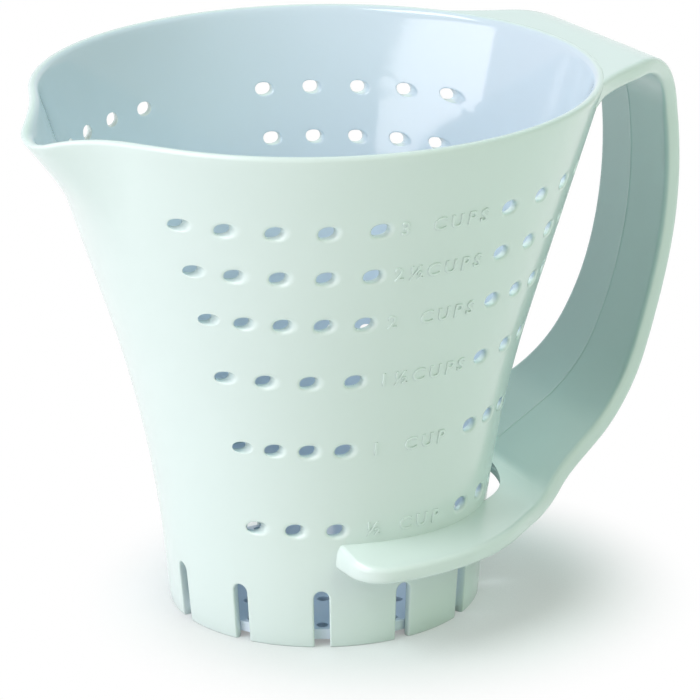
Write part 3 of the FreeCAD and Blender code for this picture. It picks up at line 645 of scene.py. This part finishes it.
# A point is (s, y, h): the way along the strip, the distance from the middle plane, and the
# depth from the inner face. Rows run from the inner outline to the outer one, over the outer
# edge and back on the other face; depth follows a quarter circle at each edge.
def makeRibbon():
    r, count = ribbon, ribbon["rows"]
    s, x, z, turn, stops = ribbonPath()
    thick = r["thick"]
    xMiddle = x + thick / 2 * np.sin(turn)
    top = int(np.argmax(xMiddle))

    # the way along the strip at an x, on the top and below the bend, and back again
    def sOnTop(where):
        return np.interp(where, xMiddle[:top], s[:top])

    def sBelow(where):
        return np.interp(where, xMiddle[top:][::-1], s[top:][::-1])

    def xAt(where):
        return np.interp(where, s, xMiddle)

    plan = topPlan()
    hold = r["rimHold"]
    first = math.acos(plan[0, 0] / hold)
    xWing = hold * np.cos(np.linspace(first, 0, count["wing"]))
    xTop = np.concatenate([xWing, np.linspace(hold, r["bendFrom"], count["plate"])[1:],
                           np.linspace(r["bendFrom"], r["face"], count["bend"])[1:]])
    outTop = np.stack([sOnTop(xTop), np.interp(xTop, plan[:, 0], plan[:, 1])], 1)
    low, corner, last = lowPlan()
    gapEnd = r["gapPlace"] + r["gapRadius"]
    wallAt = float(wallRadius(r["collarMiddle"])) - r["buried"]
    meetX = (wallAt ** 2 - r["gapRadius"] ** 2 + r["gapPlace"] ** 2) / (2 * r["gapPlace"])
    sweep = np.linspace(0, math.acos((meetX - r["gapPlace"]) / r["gapRadius"]), count["gap"])
    xLow = np.concatenate([np.linspace(r["face"], gapEnd, count["root"]),
                           (r["gapPlace"] + r["gapRadius"] * np.cos(sweep))[1:],
                           np.linspace(meetX, low[-1, 0], count["arm"])[1:]])
    outLow = np.stack([sBelow(xLow), np.interp(xLow, low[::-1, 0], low[::-1, 1])], 1)
    grip = np.linspace(outTop[-1, 0], outLow[0, 0], count["grip"])[1:-1]
    outGrip = np.stack([grip, np.full(len(grip), r["halfWidth"])], 1)
    bend = arcPoints(corner, r["tipRound"], last, math.pi, count["tip"])[1:]
    endY = math.sqrt(wallAt ** 2 - r["tip"] ** 2)
    bendOut = np.stack([sBelow(bend[:, 0]), bend[:, 1]], 1)
    endWide = np.linspace(bend[-1, 1], endY, count["end"])[1:]
    endLine = np.stack([np.full(len(endWide), s[-1]), endWide], 1)
    line = np.concatenate([outTop, outGrip, outLow])

    # the plan's corner at the bend is eased by a cubic curve, then the grip by a moving mean
    ease = np.clip((line[:, 0] - r["easeStart"]) / (r["easeEnd"] - r["easeStart"]), 0, 1)
    wide = np.interp(r["easeStart"] + np.array([0, 0.1]), *line.T)
    slope = (wide[1] - wide[0]) / 0.1 * (r["easeEnd"] - r["easeStart"])
    eased = (wide[0] * (1 - ease) ** 2 * (1 + 2 * ease) + slope * ease * (1 - ease) ** 2
             + r["halfWidth"] * ease ** 2 * (3 - 2 * ease))
    line[:, 1] = np.where((ease > 0) & (ease < 1), eased, line[:, 1])
    shifts = np.linspace(-1, 1, r["evenSteps"])
    evened = sum((1 - abs(shift)) * np.interp(line[:, 0] + shift * r["evenReach"], *line.T)
                 for shift in shifts) / (1 - np.abs(shifts)).sum()
    share = np.clip((line[:, 0] - r["easeEnd"]) / r["evenFade"], 0, 1) * np.clip(
        (r["evenEnd"] - line[:, 0]) / r["evenFade"], 0, 1)
    line[:, 1] += share * (evened - line[:, 1])
    outer = np.concatenate([line, bendOut, endLine])

    wing = len(xWing) - 1
    split = len(outTop) + len(outGrip) + count["root"] - 1
    rows = len(outer)
    outer[:, 1] += r["spare"] * np.clip((stops[6] - outer[:, 0]) / r["spareFade"], 0, 1)
    inner = outer.copy()
    inner[:, 1] = 0
    inner[:wing + 1, 1] = np.sqrt(np.maximum(hold ** 2 - xWing ** 2, 0))
    outer[:wing + 1, 1] = np.maximum(outer[:wing + 1, 1], inner[:wing + 1, 1])
    stretch = slice(len(outTop) + len(outGrip) + len(outLow) - 1, rows)
    inner[stretch, 0] = np.linspace(inner[stretch, 0][0], s[-1] - r["edgeRound"],
                                    rows - stretch.start)
    lowX = xAt(inner[split:, 0])
    gap = np.sqrt(np.maximum(r["gapRadius"] ** 2 - (lowX - r["gapPlace"]) ** 2, 0))
    inner[split:, 1] = np.maximum(gap, np.sqrt(np.maximum(wallAt ** 2 - lowX ** 2, 0)))
    inner[split, 1] = 0
    between = slice(wing + 1, split)
    inner[between, 0] = np.interp(
        inner[between, 0], (inner[wing, 0], inner[split, 0]),
        (inner[wing, 0] + r["holdRound"], inner[split, 0] - r["gapRound"]))

    # the inner outline at the rim and at the gap, moved out by a distance
    def wingLine(distance):
        return offsetLine(inner[:wing + 1][::-1], distance, -1, True)[::-1]

    def gapLine(distance):
        return offsetLine(inner[split:], distance, 1, True)

    flatIn = inner.copy()
    flatIn[:wing + 1] = wingLine(r["holdRound"])
    flatIn[split:] = gapLine(r["gapRound"])
    edge = np.minimum(r["edgeRound"], r["edgeShare"] * np.linalg.norm(outer - inner, axis=1))
    edge[len(outer) - len(endLine) - len(bendOut):] = r["edgeRound"]
    flatOut = offsetLine(outer, edge, 1, False)

    place = np.arange(rows)
    crown = np.interp(outer[:, 0], [0, stops[1], stops[2], stops[5], stops[6], s[-1]],
                      [0, 0, r["crown"], r["crown"], 0, 0])
    line = np.where((place > wing) & (place < split), r["lineRise"], 0) * np.clip(
        (outer[:, 0] - stops[1]) / r["lineFade"], 0, 1)

    skin = Weave()

    # points bent into the strip's side view: along the path, then out by the depth
    def lay(points, depth):
        way, y = points[..., 0], points[..., 1]
        lean = np.interp(way, s, turn)
        return skin.add(np.stack([np.interp(way, s, x) + depth * np.sin(lean), y,
                                  np.interp(way, s, z) + depth * np.cos(lean)], -1))

    # how far the inner face stands up: the grip's crown, and the collar's lift towards the wall
    def rise(points, share, part=slice(None)):
        near = np.clip((stops[5] - points[:, 0]) / (stops[5] - stops[6]), 0, 1)
        radius = np.hypot(xAt(points[:, 0]), points[:, 1])
        slope = np.clip((r["collarRadius"] - r["edgeRound"] - radius) / r["liftSlope"], 0, 1)
        tipward = np.clip((r["liftStart"] - xAt(points[:, 0])) / r["liftRun"], 0, 1)
        lift = (r["collarLift"] + r["tipLift"] * tipward) * near * slope
        return crown[part] * (1 - share) + lift

    width = np.linalg.norm(flatOut - flatIn, axis=1)
    shares = [np.minimum(aside / np.maximum(width, 1e-6), r["lineMost"] * number)
              for number, aside in enumerate(r["lineColumns"])]
    shares += [shares[-1] + (1 - shares[-1]) * part for part in r["faceColumns"]]
    faces = []
    for isBack in (False, True):
        columns = []
        for number, share in enumerate(shares):
            points = flatIn + (flatOut - flatIn) * share[:, None]
            raised = line * r["lineShape"][number] if number < len(r["lineShape"]) else 0
            columns.append(lay(points, thick if isBack else -rise(points, share) - raised))
        faces.append(np.stack(columns, 1))

    bends = np.radians((22.5, 45, 67.5, 90))
    ring = [faces[0][:, -1]]
    for angle in bends:
        points = offsetLine(outer, edge * (1 - math.sin(angle)), 1, False)
        ring.append(lay(points, edge * (1 - math.cos(angle)) - rise(points, 1) * math.cos(angle)))
    for angle in bends[::-1]:
        points = offsetLine(outer, edge * (1 - math.sin(angle)), 1, False)
        ring.append(lay(points, thick - edge * (1 - math.cos(angle))))
    ring.append(faces[1][:, -1])
    ring = np.stack(ring, 1)

    closings = []
    for part, toLine, soft in ((slice(0, wing + 1), wingLine, r["holdRound"]),
                               (slice(split, rows), gapLine, r["gapRound"])):
        tube = [faces[0][part, 0]]
        for angle in bends:
            points = toLine(soft * (1 - math.sin(angle)))
            raised = rise(points, 0, part) * math.cos(angle)
            tube.append(lay(points, soft * (1 - math.cos(angle)) - raised))
        for angle in bends[::-1]:
            points = toLine(soft * (1 - math.sin(angle)))
            tube.append(lay(points, thick - soft * (1 - math.cos(angle))))
        tube.append(faces[1][part, 0])
        closings.append(np.stack(tube, 1))

    for grid in (faces[0], faces[1], ring, *closings):
        skin.quads(grid[:-1, :-1], grid[1:, :-1], grid[1:, 1:], grid[:-1, 1:])
    skin.strip(ring[0], closings[0][0])
    skin.strip(ring[-1], closings[1][-1])
    half = skin.count
    skin.store[half:2 * half] = skin.store[:half] * (1, -1, 1)
    skin.faces += [faces + half for faces in list(skin.faces)]
    skin.count = 2 * half
    return skin.make("ribbonHandle")


ribbonHandle = makeRibbon()
ribbonHandle.data.materials.append(mintPlastic)
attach(ribbonHandle, "root")
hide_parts("ribbon_handle", "wall_collar")
print("handle made:", len(ribbonHandle.data.polygons), "faces")


# Raised measure marks

marks = dict(
    rows=((30.9, "\u00bd", "CUP"), (52.4, "1", "CUP"), (71.1, "1\u00bd", "CUPS"),
          (86.6, "2", "CUPS"), (99.2, "2\u00bd", "CUPS"), (111.1, "3", "CUPS")),
    letterSize=4.7, spacing=1.5, relief=0.24, sink=0.3, bevel=0.11,
    numberPlace=(-10.7, -0.025), wordPlace=(-2.2, -0.032), drop=1.6,
)


# A word's mesh, flat, in millimetres, with its left end at a place.
def letterPoints(words, place):
    curve = bpy.data.curves.new("words", "FONT")
    curve.body = words
    curve.size = marks["letterSize"]
    curve.space_character = marks["spacing"]
    curve.extrude = (marks["relief"] + marks["sink"]) / 2
    curve.bevel_depth = marks["bevel"]
    curve.bevel_resolution = 1
    curve.resolution_u = 3
    thing = bpy.data.objects.new("words", curve)
    bpy.context.collection.objects.link(thing)
    bpy.context.view_layer.update()
    solid = thing.evaluated_get(bpy.context.evaluated_depsgraph_get())
    mesh = bpy.data.meshes.new_from_object(solid)
    bpy.data.objects.remove(thing)
    points = np.zeros(len(mesh.vertices) * 3)
    mesh.vertices.foreach_get("co", points)
    return mesh, points.reshape(-1, 3) + (place, 0, 0)


# Letters laid round the wall: across becomes an angle at the wall's radius there, up becomes
# height, and depth is measured out from the wall.
def makeMarks():
    joined = bmesh.new()
    for height, number, word in marks["rows"]:
        for words, (low, slope) in ((number, marks["numberPlace"]), (word, marks["wordPlace"])):
            place = low + slope * (height - marks["rows"][0][0])
            for facing in (3 * math.pi / 2, math.pi / 2):
                mesh, flat = letterPoints(words, place)
                z = height - marks["drop"] + flat[:, 1]
                base = wallRadius(z)
                angle = facing + flat[:, 0] / float(wallRadius(height))
                radius = base + flat[:, 2] + (marks["relief"] - marks["sink"]) / 2
                points = np.stack([radius * np.cos(angle), radius * np.sin(angle), z], 1) * mm
                mesh.vertices.foreach_set("co", points.ravel())
                joined.from_mesh(mesh)
                bpy.data.meshes.remove(mesh)
    bmesh.ops.remove_doubles(joined, verts=joined.verts, dist=1e-7)
    mesh = bpy.data.meshes.new("measureMarks")
    joined.to_mesh(mesh)
    joined.free()
    thing = bpy.data.objects.new("measureMarks", mesh)
    bpy.context.collection.objects.link(thing)
    return thing


measureMarks = makeMarks()
measureMarks.data.materials.append(mintPlastic)
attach(measureMarks, "root")
print("marks made:", len(measureMarks.data.polygons), "faces")


# Floor, lamps and camera

studio = dict(
    floorSize=6.0,
    floorColour=(0.93, 0.935, 0.93),
    # painted light: the share of white glow on the paper near the shadow's middle, which lightens
    # the cup's shadow; beyond the reach it is all glow
    floorGlow=0.28,
    shadowMiddle=(0.012, -0.01, 0.0), shadowReach=(0.04, 0.078),
    # painted shade: the paper darkens towards this colour where ambient occlusion finds the cup
    # close
    contactReach=0.06, contactShadeColour=(0.42, 0.5, 0.5), contactSamples=6,
    airColour=(0.85, 0.93, 1.0),
    airStrength=0.03,
    aim=(0, 0, 0.06),
    mirrored=("keyLamp", "sidePanel"),                     # the lamps that gloss shows
    lamps=(
        ("keyLamp", 181, 50, 1.1, 0.7, 0.6, 8.2, (0.94, 0.97, 1.0)),
        ("sidePanel", 183, 12.2, 1.13, 1.1, 0.42, 5.15, (0.99, 0.935, 0.95)),
        ("frontFill", 286, 30, 1.1, 0.6, 0.6, 3.05, (0.85, 1.0, 0.7)),
        ("rightFill", 331, 35, 1.1, 0.6, 0.6, 2.8, (0.72, 0.9, 0.86)),
        ("backLamp", 61, 45, 1.1, 0.6, 0.6, 3.8, (0.65, 0.97, 1.0)),
    ),
)
# each lamp: name, direction round the cup and up in degrees, distance, width, height, watts, tint

view = dict(
    turn=4.20632, lift=0.33331, roll=-0.01334,             # radians
    far=0.99722, aimHeight=0.066342,
    aside=0.00717, above=-0.00438,     # how far the look turns off its aim, as slopes
    lens=212.2, sensor=36.0, nearest=0.05, furthest=20.0,
)


# The direction at one angle round the cup and another up from the level.
def wayOut(turn, lift):
    return np.array([math.cos(turn) * math.cos(lift), math.sin(turn) * math.cos(lift),
                     math.sin(lift)])


# Puts a thing at a point, with its own x, y and z along three directions.
def placeThing(thing, point, axes):
    turned = Matrix([list(row) for row in np.stack(axes, 1)])
    thing.matrix_world = Matrix.Translation(point) @ turned.to_4x4()


# 1 for camera, glossy and transmission rays, else 0.
def seenDirectly(tree):
    path = tree.nodes.new("ShaderNodeLightPath")
    total = path.outputs["Is Camera Ray"]
    for kind in ("Is Glossy Ray", "Is Transmission Ray"):
        add = tree.nodes.new("ShaderNodeMath")
        add.operation = "MAXIMUM"
        tree.links.new(total, add.inputs[0])
        tree.links.new(path.outputs[kind], add.inputs[1])
        total = add.outputs["Value"]
    return total


# Pale paper that keeps the lamps' shadow near the cup, with painted light: it glows white more
# with the distance from the shadow's middle, and is plain white further out. It has painted shade
# close to the foot, where ambient occlusion darkens its colour.
def makeFloor():
    half = studio["floorSize"] / 2
    mesh = bpy.data.meshes.new("floor")
    mesh.from_pydata([(-half, -half, 0), (half, -half, 0), (half, half, 0), (-half, half, 0)],
                     [], [(0, 1, 2, 3)])
    floor = bpy.data.objects.new("floor", mesh)
    bpy.context.collection.objects.link(floor)
    material = bpy.data.materials.new("floorPaper")
    material.use_nodes = True
    tree = material.node_tree
    tree.nodes.clear()
    output = tree.nodes.new("ShaderNodeOutputMaterial")
    paper = tree.nodes.new("ShaderNodeBsdfDiffuse")
    # painted shade: ambient occlusion near the cup mixes the paper towards the contact shade colour
    corner = tree.nodes.new("ShaderNodeAmbientOcclusion")
    corner.samples = studio["contactSamples"]
    corner.inputs["Distance"].default_value = studio["contactReach"]
    contactShadeTone = tree.nodes.new("ShaderNodeMix")
    contactShadeTone.data_type = "RGBA"
    contactShadeTone.inputs["A"].default_value = (*studio["contactShadeColour"], 1)
    contactShadeTone.inputs["B"].default_value = (*studio["floorColour"], 1)
    tree.links.new(corner.outputs["AO"], contactShadeTone.inputs["Factor"])
    tree.links.new(contactShadeTone.outputs["Result"], paper.inputs["Color"])
    # painted light: white glow mixed in for rays that see the floor, weak near the shadow's middle
    # and full beyond its reach
    white = tree.nodes.new("ShaderNodeEmission")
    place = tree.nodes.new("ShaderNodeTexCoord")
    away = tree.nodes.new("ShaderNodeVectorMath")
    away.operation = "DISTANCE"
    away.inputs[1].default_value = studio["shadowMiddle"]
    fade = tree.nodes.new("ShaderNodeMapRange")
    fade.interpolation_type = "SMOOTHSTEP"
    fade.inputs["From Min"].default_value = studio["shadowReach"][0]
    fade.inputs["From Max"].default_value = studio["shadowReach"][1]
    fade.inputs["To Min"].default_value = studio["floorGlow"]
    both = tree.nodes.new("ShaderNodeMath")
    both.operation = "MULTIPLY"
    pick = tree.nodes.new("ShaderNodeMixShader")
    tree.links.new(place.outputs["Object"], away.inputs[0])
    tree.links.new(away.outputs["Value"], fade.inputs["Value"])
    tree.links.new(fade.outputs["Result"], both.inputs[0])
    tree.links.new(seenDirectly(tree), both.inputs[1])
    tree.links.new(both.outputs["Value"], pick.inputs["Fac"])
    tree.links.new(paper.outputs["BSDF"], pick.inputs[1])
    tree.links.new(white.outputs["Emission"], pick.inputs[2])
    tree.links.new(pick.outputs["Shader"], output.inputs["Surface"])
    mesh.materials.append(material)


# Faint blue air that lights the cup, and plain white where it is seen directly.
def makeWorld():
    world = bpy.data.worlds.new("studioAir")
    bpy.context.scene.world = world
    world.use_nodes = True
    tree = world.node_tree
    tree.nodes.clear()
    output = tree.nodes.new("ShaderNodeOutputWorld")
    air = tree.nodes.new("ShaderNodeBackground")
    air.inputs["Color"].default_value = (*studio["airColour"], 1)
    air.inputs["Strength"].default_value = studio["airStrength"]
    white = tree.nodes.new("ShaderNodeBackground")
    white.inputs["Color"].default_value = (1, 1, 1, 1)
    pick = tree.nodes.new("ShaderNodeMixShader")
    tree.links.new(seenDirectly(tree), pick.inputs["Fac"])
    tree.links.new(air.outputs["Background"], pick.inputs[1])
    tree.links.new(white.outputs["Background"], pick.inputs[2])
    tree.links.new(pick.outputs["Shader"], output.inputs["Surface"])


# A soft box on a sphere round the cup, turned to face its middle.
def makeLamp(name, turn, lift, far, width, height, power, colour):
    lamp = bpy.data.lights.new(name, "AREA")
    lamp.shape = "RECTANGLE"
    lamp.size, lamp.size_y = width, height
    lamp.energy, lamp.color = power, colour
    thing = bpy.data.objects.new(name, lamp)
    bpy.context.collection.objects.link(thing)
    back = wayOut(math.radians(turn), math.radians(lift))
    right = np.cross((0.0, 0.0, 1.0), back)
    right /= np.linalg.norm(right)
    placeThing(thing, np.array(studio["aim"]) + far * back, [right, np.cross(back, right), back])
    thing.visible_glossy = name in studio["mirrored"]


# Looks from a point on a sphere towards the cup's axis, turned off it a little and rolled.
def makeCamera():
    out = wayOut(view["turn"], view["lift"])
    eye = np.array([0.0, 0.0, view["aimHeight"]]) + view["far"] * out
    right = np.cross(-out, (0.0, 0.0, 1.0))
    right /= np.linalg.norm(right)
    up = np.cross(right, -out)
    look = -out + view["aside"] * right + view["above"] * up
    look /= np.linalg.norm(look)
    right = np.cross(look, (0.0, 0.0, 1.0))
    right /= np.linalg.norm(right)
    up = np.cross(right, look)
    roll = view["roll"]
    sideways = math.cos(roll) * right + math.sin(roll) * up
    upwards = -math.sin(roll) * right + math.cos(roll) * up
    camera = bpy.data.cameras.new("camera")
    camera.sensor_width, camera.lens = view["sensor"], view["lens"]
    camera.clip_start, camera.clip_end = view["nearest"], view["furthest"]
    thing = bpy.data.objects.new("camera", camera)
    bpy.context.collection.objects.link(thing)
    placeThing(thing, eye, [sideways, upwards, -look])
    bpy.context.scene.camera = thing


makeFloor()
makeWorld()
for lamp in studio["lamps"]:
    makeLamp(*lamp)
makeCamera()
bpy.context.scene.view_settings.view_transform = "Standard"
print("floor, lamps and camera made")
